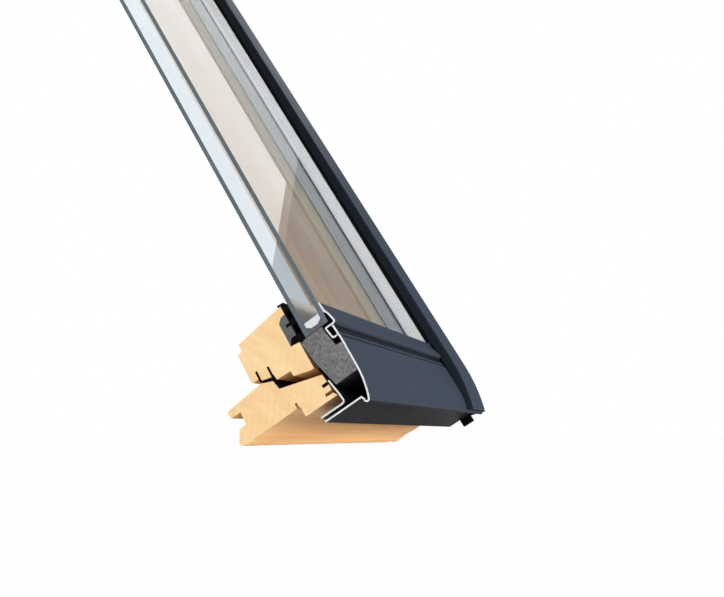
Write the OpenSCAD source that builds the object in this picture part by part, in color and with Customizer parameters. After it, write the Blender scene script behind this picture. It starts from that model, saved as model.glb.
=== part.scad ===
// Roof window in a sloping roof, cut through on its middle plane so that the right-hand half remains.
// The bottom rail, side stile and top rail of frame and sash share one timber section each.
// Every section is drawn as [a, b]: a runs outwards from the edge of the glass, b runs out of the roof
// from the inner face of the glass. The finished half window leans at the pitch of the roof.

/* [Window] */
// Overall width of the whole window over its side covers, of which the right half is modelled
window_w = 780; // [620:10:1340]
// Overall height along the slope, over the covers
window_h = 980; // [780:10:1600]
// Slope of the roof from level, in degrees
roof_pitch = 58.6; // [15:0.1:85]

/* [Glazing] */
// Thickness of each pane
pane_t = 4; // [3:0.5:6]
// Width of the gas space between the panes
gas_gap = 16; // [12:1:20]
// Depth of the spacer bar between the panes
spacer_h = 7; // [6:0.5:9]
// Width of the sealant outside the spacer bar
sealant_w = 3.8; // [3:0.1:6]
// Space for the inner gasket, between the inner pane and the sash
glazing_gap = 6.8; // [6:0.1:9]

/* [Sash timber] */
// Height of the sash upstand behind the glass
sash_upstand = 37; // [34:0.5:45]
// Depth of the sash timber
sash_depth = 56; // [52:0.5:66]
// Reach of the sash timber outside the edge of the glass
sash_foot = 26.4; // [25:0.1:28]
// Depth of the groove for the gasket carrier
carrier_d = 8.8; // [7:0.1:11]

/* [Frame timber] */
// Depth of the frame timber
frame_depth = 98; // [92:1:130]
// Width of the frame timber that stands outside the sash
frame_block = 30.1; // [28:0.1:36]
// Step between the outer block and the inner leg of the frame
frame_step = 9.8; // [8:0.1:11]
// Width of the groove that takes the lining of the room
lining_w = 12; // [10:0.5:12.5]
// Depth of the groove that takes the lining of the room
lining_d = 11; // [9:0.5:16]

/* [Metal covers] */
// Thickness of the aluminium covers
sheet_t = 1.4; // [0.8:0.1:1.6]
// Reach of the front plate below the frame's cover
plate_over = 11; // [9:0.5:16]
// Depth of the return under the front plate
flange_d = 37; // [30:1:42]
// Height of the side cover's ridge above the glass
ridge_h = 14; // [12:0.5:20]
// Overlap of the covers on the glass
glass_lap = 19; // [17:0.5:24]
// Radius of the curved lower end of the side cover
nose_r = 218; // [180:1:400]

/* [Hinge] */
// Width of the hinge along its pin
hinge_w = 66; // [48:1:120]
// Radius of the hinge pin
pin_r = 2.5; // [2:0.1:3]
// Distance of the hinge from the side edge of the glass
hinge_edge = 30.3; // [28:0.1:120]

/* [Fixing] */
// Distance between the two screw holes of a fixing bracket
bracket_pitch = 60; // [30:1:120]
// Radius of a bracket's pilot hole
pilot_r = 1.75; // [1.25:0.05:2.5]
// Depth of a bracket's pilot hole
pilot_d = 18; // [10:1:22]
// Distance of the bracket holes' middle from the lower edge of the glass
bracket_u = 90; // [70:1:200]

/* [Hidden] */
$fn = 48;

// Clearances
touch = 0.15;      // between pieces that lie against each other
clear = 0.4;       // between pieces that pass each other
run_fit = 0.05;    // around the hinge pin

// Places that follow from the driving sizes
igu_t = 2 * pane_t + gas_gap;
frame_reach = sash_foot + frame_block;       // outside of the frame timber
cover_a = frame_reach + 8.5;                 // middle of the frame covers' outer wall
frame_margin = cover_a + sheet_t / 2;        // from the edge of the glass to the outside of the window
glass_x = window_w / 2 - frame_margin;       // right-hand edge of the glass
glass_h = window_h - 2 * frame_margin;       // height of the glass
far = 400;                                   // longer than any section

// Sash section
sash_face = -glazing_gap;
sash_back = sash_face - sash_depth;
sash_top_fall = 5.5;                         // slope of the sash's top face, from glass to room
sash_bead = [5, 7];                          // depth and height of the step along the room side
sash_heel = 4.5;                             // underside of the room side
slot_w = 2.2;                                // seal slots
slot_d = 7;
slot_step = 2.5;                             // the second slot starts this much lower
slot_rib = 2.8;                              // the timber between the slots reaches further down
slot_b = [sash_back + 8.3, sash_back + 19.9];
sash_toe = sash_foot - 11;                   // underside behind the drip groove
drip_b = sash_face - 19.3;                   // drip groove
drip_h = 5;
foot_b = sash_face - 4.7;
prong_h = slot_w / 2 - touch;                // half the thickness of the seal's prongs
carrier_a = [-1.2, -24, -28, -29];           // lower edge, upper edge and chamfer of the carrier groove
carrier_b = sash_face - carrier_d;

// Frame section
frame_face = -2.4;                           // outer face of the frame, just behind the glass line
frame_top = frame_face + 2.4;
frame_back = frame_top - frame_depth;
leg_a = frame_reach - frame_step;            // face of the inner leg, where brackets are screwed
lip_b = slot_b[1] - 1.8;                     // the frame's lip stands behind the sash toe
lip_a = [10, 14.5, 23.5];                    // lip's top, its outer edge and the foot of the rebate
rebate_end = [sash_foot + 8.6, -3.3];        // outer edge of the sloping rebate
clip_a = frame_reach * [1, 1] - [14.2, 11.2];   // clip groove in the outer face
clip_d = 5.8;
notch_a = frame_reach * [1, 1] - [6.5, 3.5];     // second groove in the outer face
notch_d = 7;
block_b = frame_face - 30.6;                 // underside of the outer block
kerf_w = 2.2;                                // kerf for the roofing membrane
kerf_d = 4.7;
tongue_a = 20.2;                             // upper wall of the lining groove
tongue_back = frame_back + 2.5;
leg_slant = 6;                               // the leg's room side leans back

// Comb joints of the frame
frame_fingers = 7;
finger_over = 4;                             // the rails' fingers stand out of the stile's side
flush_b = block_b - 2 * kerf_d;              // but are flush with it from here outwards
trim = 0.05;                                 // planed off the ends of the fingers

// Covers
frame_cover_b = frame_face + 5;              // middle of the frame covers' flat
plate_len = cover_a + plate_over;            // lower edge of the front plate
plate_b = igu_t + 3.3;                       // face of the front plate
bead_nose = 3.7;                             // lower edge of the glazing bead
bead_top = igu_t + 5.9;
bead_end = 14.4;                             // the bead's hidden end
fold_r = 2;                                  // fold at the front plate's lower edge
flat_end = plate_len - 31;                   // the front plate is flat to here, then curves in
plate_r = 87;
flange_a = plate_len - 6.6;
flange_b = plate_b - 10.5;
ridge_b = igu_t + ridge_h;
side_wall_a = cover_a - 2.8;                 // middle of the side cover's outer wall
side_wall_b = 6.5;                           // its lower edge
shoulder_b = ridge_b - 2.8;                  // outer edge of its top
lip_gasket_h = 3.4;
nose_u = -12;                                // the side cover starts to curve here
nose_angle = asin((plate_len + nose_u) / nose_r);
flange_x = glass_x + frame_reach - 15;       // right-hand end of the return under the front plate
plate_x = glass_x + side_wall_a - sheet_t - 1.2;   // right-hand end of the front plate
plug = [8, 13, 14];                          // rubber plug under the corner

// Insulation
foam_toe = 1.9;                              // clear of the lower lip of the glazing gasket

// Hinge
knuckle_r = pin_r + 1.7;
hinge_a = frame_reach - 12.5;
hinge_b = igu_t + 9;
hinge_x = glass_x - hinge_edge - hinge_w;    // inner end of the hinge
hinge_gap = 0.4;                             // between knuckles along the pin
leaf_t = 2;
knuckle_w = hinge_w / 3;
screw_r = 2;
screw_head = [3.6, 1.6];                     // radius and height
frame_screw_l = 18;
sash_screw_l = 15;

// Fixing
bracket_b = (block_b + frame_back) / 2;
side_x = glass_x + leg_a;

// Plane geometry

function unit(v) = v / norm(v);
function left(v) = [-v[1], v[0]];
function reversed(list) = [for (i = [len(list) - 1:-1:0]) list[i]];
function arc(centre, r, from, to, steps = 8) =
  [for (i = [0:steps]) let(t = from + (to - from) * i / steps) centre + r * [cos(t), sin(t)]];
function bend(p, q, r, steps) =
  [for (i = [0:steps]) let(t = i / steps) p * pow(1 - t, 2) + q * 2 * t * (1 - t) + r * pow(t, 2)];
// A line with each inner corner bent over the given setback
function rounded(line, setback, steps = 4) = [
  line[0],
  for (i = [1:len(line) - 2])
    let(
      p = line[i - 1] - line[i],
      r = line[i + 1] - line[i],
      s = min(setback, 0.48 * norm(p), 0.48 * norm(r))
    )
    each bend(line[i] + s * unit(p), line[i], line[i] + s * unit(r), steps),
  line[len(line) - 1]
];
function beside(line, off) = [
  for (i = [0:len(line) - 1])
    let(
      before = i > 0 ? unit(line[i] - line[i - 1]) : unit(line[1] - line[0]),
      after = i < len(line) - 1 ? unit(line[i + 1] - line[i]) : before,
      mid = unit(left(before) + left(after))
    )
    line[i] + mid * off / (mid * left(before))
];
// The outline of a sheet of thickness t along a line
function sheet(line, t) = concat(beside(line, t / 2), reversed(beside(line, -t / 2)));

// Sections of the timber, first the planed outline and then the grooves that run round it

function sash_outline() = [
  [-sash_upstand, sash_face],
  [-sash_upstand + sash_top_fall, sash_back + sash_bead[0]],
  [-sash_upstand + sash_top_fall + sash_bead[1], sash_back + sash_bead[0]],
  [-sash_upstand + sash_top_fall + sash_bead[1] + 1, sash_back],
  [sash_heel, sash_back],
  [sash_heel + 1, sash_back + 1],
  [sash_heel + 1, slot_b[0]],
  [sash_heel + 1 + slot_rib, slot_b[0] + slot_w / 2],
  [sash_heel + 1 + slot_step + slot_rib, slot_b[1] - slot_w / 2],
  [sash_heel + 1 + slot_step, slot_b[1] + slot_w / 2],
  [sash_toe, slot_b[1] + slot_w / 2 + 1.2],
  [sash_toe + 1, drip_b],
  [sash_toe + 1 + drip_h, drip_b],
  [sash_foot - 0.6, foot_b],
  [sash_foot, sash_face]
];
function groove(a_low, a_high, b_low, b_high) =
  [[a_low, b_low], [a_high, b_low], [a_high, b_high], [a_low, b_high]];
sash_grooves = [
  groove(sash_heel + 1 - slot_d, sash_heel + 6, slot_b[0] - slot_w / 2, slot_b[0] + slot_w / 2),
  groove(sash_heel + 1 + slot_step - slot_d, sash_heel + 6 + slot_step,
    slot_b[1] - slot_w / 2, slot_b[1] + slot_w / 2),
  [
    [carrier_a[0], carrier_b],
    [carrier_a[1], carrier_b],
    [carrier_a[2], carrier_b + 4.2],
    [carrier_a[3], sash_face + 1],
    [0.2, sash_face + 1]
  ]
];

function frame_outline() = [
  [lip_a[1], lip_b],
  [lip_a[2], lip_b + 2],
  rebate_end,
  [clip_a[0], frame_face],
  [notch_a[1], frame_face],
  [frame_reach, frame_top],
  [frame_reach, block_b],
  [leg_a, block_b - 0.6],
  [leg_a, frame_back + 4],
  [leg_a - 1.2, frame_back + 1],
  [leg_a - 4.2, frame_back],
  [tongue_a + lining_w, frame_back + leg_slant],
  [tongue_a, tongue_back + 1],
  [tongue_a - 1, tongue_back],
  [lip_a[0] + 4.5, tongue_back],
  [lip_a[0] + 3, tongue_back + 2],
  [lip_a[0], lip_b - 11]
];
frame_grooves = [
  groove(clip_a[0], clip_a[1], frame_face - clip_d, frame_face + 2),
  groove(notch_a[0], notch_a[1], frame_face - notch_d, frame_face + 2),
  groove(leg_a - kerf_d, leg_a + 5, block_b - 1.6 - kerf_w, block_b - 1.6),
  groove(tongue_a, tongue_a + lining_w, frame_back - 5, tongue_back + lining_d)
];

// What lies outside the frame's outline, beyond the end of a finger
function frame_outside() = concat(
  [[clip_a[0], frame_top + 1]],
  [for (i = [3:13]) frame_outline()[i]],
  [[tongue_a - 1, frame_back - 1], [far, frame_back - 1], [far, frame_top + 1]]
);

// Placing a section along the three sides

module along_bottom(from, to) {
  translate([to, 0, 0]) rotate([90, 0, -90]) linear_extrude(height = to - from) children();
}
module along_side(from, to) {
  translate([glass_x, to, 0]) rotate([90, 0, 0]) linear_extrude(height = to - from) children();
}
module along_top(from, to) {
  translate([from, glass_h, 0]) rotate([90, 0, 90]) linear_extrude(height = to - from) children();
}
// A block of plan outline [x, u] through the whole depth
module through(outline) {
  translate([0, 0, -far]) linear_extrude(height = 2 * far) polygon(outline);
}
// The parts of the plan that belong to each side when corners are mitred
module bottom_side() {
  through([[-far, -far], [glass_x + far, -far], [glass_x - glass_h / 2, glass_h / 2], [-far, glass_h / 2]]);
}
module right_side() {
  through([[glass_x + far, -far], [glass_x + far, glass_h + far], [glass_x - glass_h / 2, glass_h / 2]]);
}
module top_side() {
  through([[-far, glass_h + far], [glass_x + far, glass_h + far], [glass_x - glass_h / 2, glass_h / 2],
    [-far, glass_h / 2]]);
}
// A section along one side, mitred to its neighbours
module mitred_bottom() {
  intersection() {
    along_bottom(0, glass_x + cover_a + far / 4) children();
    bottom_side();
  }
}
module mitred_side() {
  intersection() {
    along_side(-far / 4 - cover_a, glass_h + cover_a + far / 4) children();
    right_side();
  }
}
module mitred_top() {
  intersection() {
    along_top(0, glass_x + cover_a + far / 4) children();
    top_side();
  }
}

// Timber: the frame has comb joints at its corners

// Every second layer of the comb
module comb(odd) {
  layer = frame_depth / frame_fingers;
  for (i = [odd:2:frame_fingers - 1])
    translate([-far, -far, frame_back + i * layer])
      cube([2 * far + window_w, 2 * far + window_h, layer]);
}
module rail_at_bottom(reach) { along_bottom(0, glass_x + reach) polygon(frame_outline()); }
module rail_at_top(reach) { along_top(0, glass_x + reach) polygon(frame_outline()); }
module stile_at_side(reach) { along_side(-reach, glass_h + reach) polygon(frame_outline()); }
module round_three_sides() {
  mitred_bottom() children();
  mitred_side() children();
  mitred_top() children();
}
module grooves_round(grooves) {
  for (section = grooves) round_three_sides() polygon(section);
}

module beyond_side() {
  along_side(-frame_reach - 2, glass_h + frame_reach + 2) offset(delta = trim) polygon(frame_outside());
}
// The rails keep the even fingers of each corner, a little long, and the stile keeps the odd ones
module frame_rail(top = false) {
  difference() {
    if (top) rail_at_top(frame_reach + finger_over + 1); else rail_at_bottom(frame_reach + finger_over + 1);
    intersection() {
      stile_at_side(frame_reach + 2);
      comb(1);
    }
    intersection() {
      beyond_side();
      comb(1);
    }
    intersection() {
      beyond_side();
      translate([-far, -far, flush_b]) cube([2 * far + window_w, 2 * far + window_h, far]);
    }
    translate([finger_over, 0, 0]) beyond_side();
    grooves_round(frame_grooves);
  }
}
module frame_stile() {
  difference() {
    stile_at_side(frame_reach + 1);
    intersection() {
      rail_at_bottom(frame_reach + 2);
      comb(0);
    }
    intersection() {
      rail_at_top(frame_reach + 2);
      comb(0);
    }
    along_bottom(0, glass_x + frame_reach + 2) offset(delta = trim) polygon(frame_outside());
    along_top(0, glass_x + frame_reach + 2) offset(delta = trim) polygon(frame_outside());
    grooves_round(frame_grooves);
  }
}

// The sash is mitred
module sash_section() {
  difference() {
    polygon(sash_outline());
    for (section = sash_grooves) polygon(section);
  }
}

// Sections of the covers

cover_slope = [[rebate_end[0] - 6, frame_face - 1], [frame_reach + 0.5, frame_cover_b - 0.7]];
function on_slope(a) = cover_slope[0]
  + (a - cover_slope[0][0]) / (cover_slope[1][0] - cover_slope[0][0]) * (cover_slope[1] - cover_slope[0]);
function frame_cover_line() = rounded([
  on_slope(clip_a[0] - touch),
  cover_slope[1],
  [cover_a, frame_cover_b],
  [cover_a, frame_face - 19.6]
], 3);

function bead_line() = rounded([
  [-glass_lap + 0.5, igu_t + sheet_t / 2 + touch],
  [-9.5, igu_t + sheet_t / 2 + 0.9],
  [-6.2, igu_t + sheet_t / 2 + 2.7],
  [bead_nose - 1.1, bead_top - sheet_t / 2],
  [bead_nose, bead_top - 2.6],
  [bead_nose, igu_t - 5],
  [bead_end, igu_t - 3.2],
  [bead_end, igu_t + 0.6]
], 1.2);

// The front plate starts in the bead's groove, runs flat, curves in, turns under and returns to the frame
plate_turn = asin((plate_len - sheet_t - 1 - flat_end) / plate_r);
plate_arc = [flat_end, plate_b - sheet_t / 2 - plate_r];
nose_turn = plate_arc + (plate_r - fold_r) * [sin(plate_turn), cos(plate_turn)];
function plate_line() = concat(
  rounded([
    [bead_nose + sheet_t / 2 + clear, igu_t + 1.6],
    [bead_end - 1.7, igu_t + 2.3],
    [bead_end - 0.5, igu_t + 1.7],
    [bead_end + 1.5, plate_b - sheet_t / 2],
    [flat_end - 10, plate_b - sheet_t / 2]
  ], 0.8),
  arc(plate_arc, plate_r, 90, 90 - plate_turn),
  arc(nose_turn, fold_r, 80 - plate_turn, -100 - plate_turn, 7),
  [[flange_a, flange_b], [flange_a, flange_b - flange_d]]
);
// Just outside the bead and the front plate
function front_skin() = concat(
  [
    [-glass_lap - 2, 0],
    [-glass_lap - 2, igu_t + sheet_t + clear + touch],
    [-9.5, igu_t + sheet_t + 0.9 + clear],
    [-6.7, igu_t + sheet_t + 2.7 + clear],
    [bead_nose - 1.6, bead_top + clear],
    [bead_nose + 1.5, bead_top + clear],
    [bead_nose + 1.5, plate_b + clear]
  ],
  arc(plate_arc, plate_r + sheet_t / 2 + clear, 90, 90 - plate_turn),
  [[plate_len + 1.5, plate_b - 6], [plate_len + 1.5, 0]]
);

function side_cover_line() = rounded([
  [-glass_lap + 0.6, igu_t + lip_gasket_h + sheet_t / 2],
  [-glass_lap + 6.6, ridge_b - sheet_t / 2],
  [side_wall_a, shoulder_b - sheet_t / 2],
  [side_wall_a, side_wall_b + sheet_t / 2],
  [side_wall_a - 5, side_wall_b + sheet_t / 2]
], 4);
// The space that the side cover takes up, with a little clearance
function side_cover_space() = [
  [-glass_lap - 0.9, igu_t + lip_gasket_h - clear],
  [-glass_lap + 5.2, ridge_b + 1],
  [cover_a, ridge_b + 1],
  [cover_a, igu_t - 10],
  [-glass_lap - 0.9, igu_t - 10]
];

function top_cover_line() = rounded([
  [-glass_lap + 0.6, igu_t + lip_gasket_h + sheet_t / 2],
  [-glass_lap + 6.6, ridge_b - sheet_t / 2],
  [hinge_a - 7, hinge_b + 1],
  [hinge_a - 7, hinge_b - 5]
], 3);

function hood_line() = rounded([
  [hinge_a + 6.4, hinge_b + 3.7],
  [cover_a, hinge_b + 3.2],
  [cover_a, frame_face - 19.6],
  [frame_reach + 0.4, frame_face - 19.6]
], 3);

function lip_gasket() = [
  [-glass_lap - 1.2, igu_t + touch],
  [-glass_lap + 3.4, igu_t + touch],
  [-glass_lap + 2.2, igu_t + lip_gasket_h],
  [-glass_lap - 0.3, igu_t + lip_gasket_h]
];

// Sections of gaskets, seals and insulation

function carrier_profile() = [
  [carrier_a[2] + touch, carrier_b + 4.2],
  [carrier_a[1], carrier_b + touch],
  [carrier_a[0] - 0.5, carrier_b + touch],
  [carrier_a[0] - 6, carrier_b + 3.8],
  [carrier_a[0] - 6, sash_face + 0.3],
  [-17, sash_face + 0.3],
  [-17, sash_face - 4],
  [-20, sash_face - 4],
  [-20, sash_face + 0.3],
  [carrier_a[3] + 0.3, sash_face + 0.3]
];

function gasket_profile() = [
  [-sash_upstand - 2, sash_face - 2.6],
  [-sash_upstand - 1.6, -3],
  [-sash_upstand + 5, -touch],
  [-0.4, -touch],
  [1.4, sash_face + 0.9],
  [0.2, sash_face + 0.3],
  [-0.3, sash_face - 0.2],
  [carrier_a[0] - 0.2, carrier_b + 0.5],
  [carrier_a[0] - 5.7, carrier_b + 3.9],
  [carrier_a[0] - 5.7, sash_face + 0.6],
  [-17.3, sash_face + 0.6],
  [-17.3, sash_face - 3.8],
  [-19.7, sash_face - 3.8],
  [-19.7, sash_face + 0.6],
  [carrier_a[3] - 0.4, sash_face + 0.5],
  [-sash_upstand - 0.3, sash_face + 0.3],
  [-sash_upstand - 0.4, sash_face - 2.6]
];
gasket_rooms = [
  [[-30, -5.1], [-21.5, -5.1], [-21.5, -1.2], [-28, -1.2]],
  [[-15.5, -5.1], [-7, -5.1], [-7, -1.2], [-15.5, -1.2]]
];
module gasket_section() {
  difference() {
    polygon(gasket_profile());
    for (room = gasket_rooms) polygon(room);
  }
}

// Two prongs in the sash's slots, a web along the frame's lip and a tail over its flank
function seal_profile() = [
  [sash_heel + 1 - slot_d + touch, slot_b[0] - prong_h],
  [lip_a[0] - 1.9, slot_b[0] - prong_h],
  [lip_a[0] - 0.1, lip_b - 9.6],
  [lip_a[1] - 0.7, lip_b + 0.2],
  [lip_a[2] - 1, lip_b + 2.4],
  [lip_a[2] - 1.2, lip_b + 3.8],
  [lip_a[1] - 0.6, slot_b[1] + prong_h],
  [sash_heel + 1 + slot_step - slot_d + touch, slot_b[1] + prong_h],
  [sash_heel + 1 + slot_step - slot_d + touch, slot_b[1] - prong_h],
  [lip_a[1] - 2.4, slot_b[1] - prong_h],
  [lip_a[0] - 1.2, lip_b - 8.2],
  [lip_a[0] - 1.5, slot_b[0] + prong_h],
  [sash_heel + 1 - slot_d + touch, slot_b[0] + prong_h]
];

// A clip in the frame's groove that holds the cover, with a lip along the timber's face
clip_lip = sheet([cover_slope[0], on_slope(clip_a[0] - 2 * touch)], sheet_t);
function clip_profile() = [
  clip_lip[3],
  [clip_a[0] - 1.5, frame_face + touch],
  [clip_a[0] + touch, frame_face + touch],
  [clip_a[0] + touch, frame_face - clip_d + touch],
  [clip_a[1] - touch, frame_face - clip_d + touch],
  [clip_a[1] - touch, frame_face + 0.6],
  [clip_lip[2][0], frame_face + 0.6],
  clip_lip[1],
  clip_lip[0]
];

function bottom_insulation_profile() = concat(
  [
    [foam_toe, sash_face + 0.5],
    [0.6, 0],
    [0.6, igu_t - 7.3],
    [4.5, igu_t - 7.1],
    [bead_end + 6.4, igu_t - 4.4],
    [bead_end + 7.2, plate_b - sheet_t - touch],
    [flat_end + 3.5, plate_b - sheet_t - touch - 0.2],
    [flat_end + 3.8, frame_face + 5.6],
    [sash_foot - 4.4, frame_face - 1.2]
  ]
);
function side_insulation_profile() = [
  [foam_toe, sash_face + 0.5],
  [0.6, 0],
  [0.6, igu_t + 9],
  [cover_a - 19, igu_t + 7.5],
  [cover_a - 19, frame_face + 5.6],
  [sash_foot - 4.4, frame_face - 1.2]
];
function top_insulation_profile() = [
  [0.6, sash_face + 4.4],
  [0.6, igu_t + 9],
  [sash_foot - 2.4, igu_t + 8],
  [sash_foot - 2.4, sash_face + 4.4]
];

function spacer_profile() = [
  [-sealant_w - spacer_h, pane_t + 0.4],
  [-sealant_w - spacer_h, pane_t + gas_gap - 0.4],
  [-sealant_w - 2.8, pane_t + gas_gap - 0.4],
  [-sealant_w, pane_t + gas_gap - 4.6],
  [-sealant_w, pane_t + 4.6],
  [-sealant_w - 2.8, pane_t + 0.4]
];
function sealant_profile() = [
  [0, pane_t],
  [0, pane_t + gas_gap],
  [-sealant_w - spacer_h + 1, pane_t + gas_gap],
  [-sealant_w - spacer_h + 1, pane_t]
];
function bead_gasket_profile() = [
  [-9, igu_t + touch],
  [-8.6, igu_t + 0.9],
  [-5.8, igu_t + 2.4],
  [bead_nose - 1.8, bead_top - sheet_t - 0.7],
  [bead_nose - 1, bead_top - sheet_t - 2.4],
  [bead_nose - 1, igu_t - 6],
  [0.3, igu_t - 6],
  [0.3, igu_t + touch]
];

// Colours

module timber() { color([0.88, 0.70, 0.46]) children(); }
module grey_metal() { color([0.25, 0.28, 0.32]) children(); }
module rubber() { color([0.05, 0.05, 0.06]) children(); }
module foam() { color([0.55, 0.56, 0.58]) children(); }
module clear_glass() { color([0.70, 0.82, 0.82]) children(); }
module bare_metal() { color([0.75, 0.76, 0.78]) children(); }

// Frame

module frame_bottom_rail() {
  timber() frame_rail();
}
module pilot_holes(middle_u) {
  for (side = [-1, 1])
    translate([side_x - pilot_d, middle_u + side * bracket_pitch / 2, bracket_b])
      rotate([0, 90, 0])
        cylinder(r = pilot_r, h = pilot_d + 1);
}
module frame_right_stile() {
  timber() difference() {
    frame_stile();
    pilot_holes(bracket_u);
    pilot_holes(glass_h - bracket_u);
  }
}
module frame_top_rail() {
  timber() difference() {
    frame_rail(top = true);
    frame_screw_places() cylinder(r = screw_r + run_fit, h = 2 * frame_screw_l, center = true);
  }
}
module frame_bottom_cover() {
  grey_metal() mitred_bottom() polygon(sheet(frame_cover_line(), sheet_t));
}
module frame_side_cover() {
  grey_metal() intersection() {
    along_side(-far / 4 - cover_a, glass_h + frame_reach) polygon(sheet(frame_cover_line(), sheet_t));
    right_side();
  }
}
module frame_top_cover() {
  grey_metal() {
    along_top(0, glass_x + frame_margin) polygon(sheet(hood_line(), sheet_t));
    along_top(glass_x + frame_margin - sheet_t, glass_x + frame_margin)
      polygon([
        [hinge_a + 7, frame_face + 8],
        [hinge_a + 7, hinge_b + 3.5],
        [cover_a - 0.5, hinge_b + 3],
        [cover_a - 0.5, frame_face + 8]
      ]);
  }
}
module cover_clip_bottom() {
  rubber() mitred_bottom() polygon(clip_profile());
}
module cover_clip_side() {
  rubber() intersection() {
    along_side(-far / 4, glass_h + clip_a[0] - 1) polygon(clip_profile());
    right_side();
  }
}
module corner_plug() {
  rubber()
    translate([flange_x + 1.4, -plug[1] - cover_a - sheet_t / 2 - touch, -5])
      cube(plug);
}
module top_gap_seal() {
  bulb_ends = [[0, hinge_x - 1], [hinge_x + hinge_w + 1, plate_x]];
  rubber() {
    for (ends = bulb_ends)
      along_top(ends[0], ends[1]) {
        translate([hinge_a, hinge_b]) circle(r = knuckle_r - 0.2);
        polygon(sheet([[hinge_a + 2, hinge_b + 1], [hinge_a + 7, hinge_b + 2.1]], sheet_t));
      }
    along_top(0, plate_x)
      polygon(sheet([[hinge_a + 6.4, hinge_b + 2], [hinge_a + 11, hinge_b + 2]], sheet_t));
  }
}

// Hinge at the top of the sash

module knuckles(first) {
  for (i = [first:2:2])
    along_top(hinge_x + i * knuckle_w + hinge_gap / 2, hinge_x + (i + 1) * knuckle_w - hinge_gap / 2)
      children();
}
module on_pin() { translate([hinge_a, hinge_b]) children(); }
module pin_bore() {
  along_top(hinge_x - 1, hinge_x + hinge_w + 1) on_pin() circle(r = pin_r + run_fit);
}
module frame_screw_places() {
  for (k = [0.25, 0.75])
    translate([hinge_x + k * hinge_w, glass_h + frame_reach, frame_face - 14])
      rotate([90, 0, 0])
        children();
}
module sash_screw_places() {
  for (k = [0.25, 0.75])
    translate([hinge_x + k * hinge_w, glass_h + sash_foot / 2, sash_face]) children();
}
frame_leaf_line = [
  [frame_reach + touch + leaf_t / 2, frame_face - 18],
  [frame_reach + touch + leaf_t / 2, hinge_b - 8],
  [hinge_a + 7, hinge_b - 1.2]
];
sash_leaf_line = [
  [5, sash_face + touch + leaf_t / 2],
  [sash_foot - 0.5, sash_face + touch + leaf_t / 2],
  [sash_foot + 4.5, sash_face + 5],
  [hinge_a - 4.5, hinge_b - 6]
];
module hinge_frame_leaf() {
  bare_metal() difference() {
    union() {
      along_top(hinge_x, hinge_x + hinge_w) polygon(sheet(rounded(frame_leaf_line, 3), leaf_t));
      knuckles(1) on_pin() circle(r = knuckle_r);
      knuckles(1) polygon(sheet([frame_leaf_line[2] + [1, -0.2], [hinge_a, hinge_b]], leaf_t));
    }
    pin_bore();
    frame_screw_places() cylinder(r = screw_r + 0.1, h = 10 * leaf_t, center = true);
  }
}
module hinge_sash_leaf() {
  bare_metal() difference() {
    union() {
      along_top(hinge_x, hinge_x + hinge_w) polygon(sheet(rounded(sash_leaf_line, 3), leaf_t));
      knuckles(0) on_pin() circle(r = knuckle_r);
      knuckles(0) polygon(sheet([sash_leaf_line[3] - [0.5, 1], [hinge_a, hinge_b]], leaf_t));
    }
    pin_bore();
    sash_screw_places() cylinder(r = screw_r + 0.1, h = 10 * leaf_t, center = true);
  }
}
module hinge_pin() {
  bare_metal() along_top(hinge_x - 0.8, hinge_x + hinge_w + 0.8) on_pin() circle(r = pin_r);
}
module screw(length) {
  translate([0, 0, -length]) cylinder(r = screw_r, h = length + touch);
  translate([0, 0, touch]) cylinder(r1 = screw_head[0], r2 = screw_head[0] - 0.8, h = screw_head[1]);
}
module hinge_frame_screws() {
  bare_metal() frame_screw_places()
    rotate([180, 0, 0])
      translate([0, 0, leaf_t + touch])
        screw(frame_screw_l);
}
module hinge_sash_screws() {
  bare_metal() sash_screw_places() translate([0, 0, leaf_t + touch]) screw(sash_screw_l);
}

// Sash

module sash_bottom_rail() {
  timber() mitred_bottom() sash_section();
}
module sash_right_stile() {
  timber() mitred_side() sash_section();
}
module sash_top_rail() {
  timber() difference() {
    mitred_top() sash_section();
    sash_screw_places() cylinder(r = screw_r + run_fit, h = 2 * sash_screw_l, center = true);
  }
}
module pane(inner) {
  translate([0, 0, inner]) cube([glass_x, glass_h, pane_t]);
}
module inner_pane() { clear_glass() pane(0); }
module outer_pane() { clear_glass() pane(pane_t + gas_gap); }
module spacer_bar() { bare_metal() round_three_sides() polygon(spacer_profile()); }
module edge_sealant() {
  foam() round_three_sides() difference() {
    polygon(sealant_profile());
    polygon(spacer_profile());
  }
}
module gasket_carrier_bottom() { foam() mitred_bottom() polygon(carrier_profile()); }
module gasket_carrier_side() { foam() mitred_side() polygon(carrier_profile()); }
module gasket_carrier_top() { foam() mitred_top() polygon(carrier_profile()); }
module glazing_gasket_bottom() { rubber() mitred_bottom() gasket_section(); }
module glazing_gasket_side() { rubber() mitred_side() gasket_section(); }
module glazing_gasket_top() { rubber() mitred_top() gasket_section(); }
module sash_seal_bottom() { rubber() mitred_bottom() polygon(seal_profile()); }
module sash_seal_side() { rubber() mitred_side() polygon(seal_profile()); }
module sash_seal_top() { rubber() mitred_top() polygon(seal_profile()); }

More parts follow.
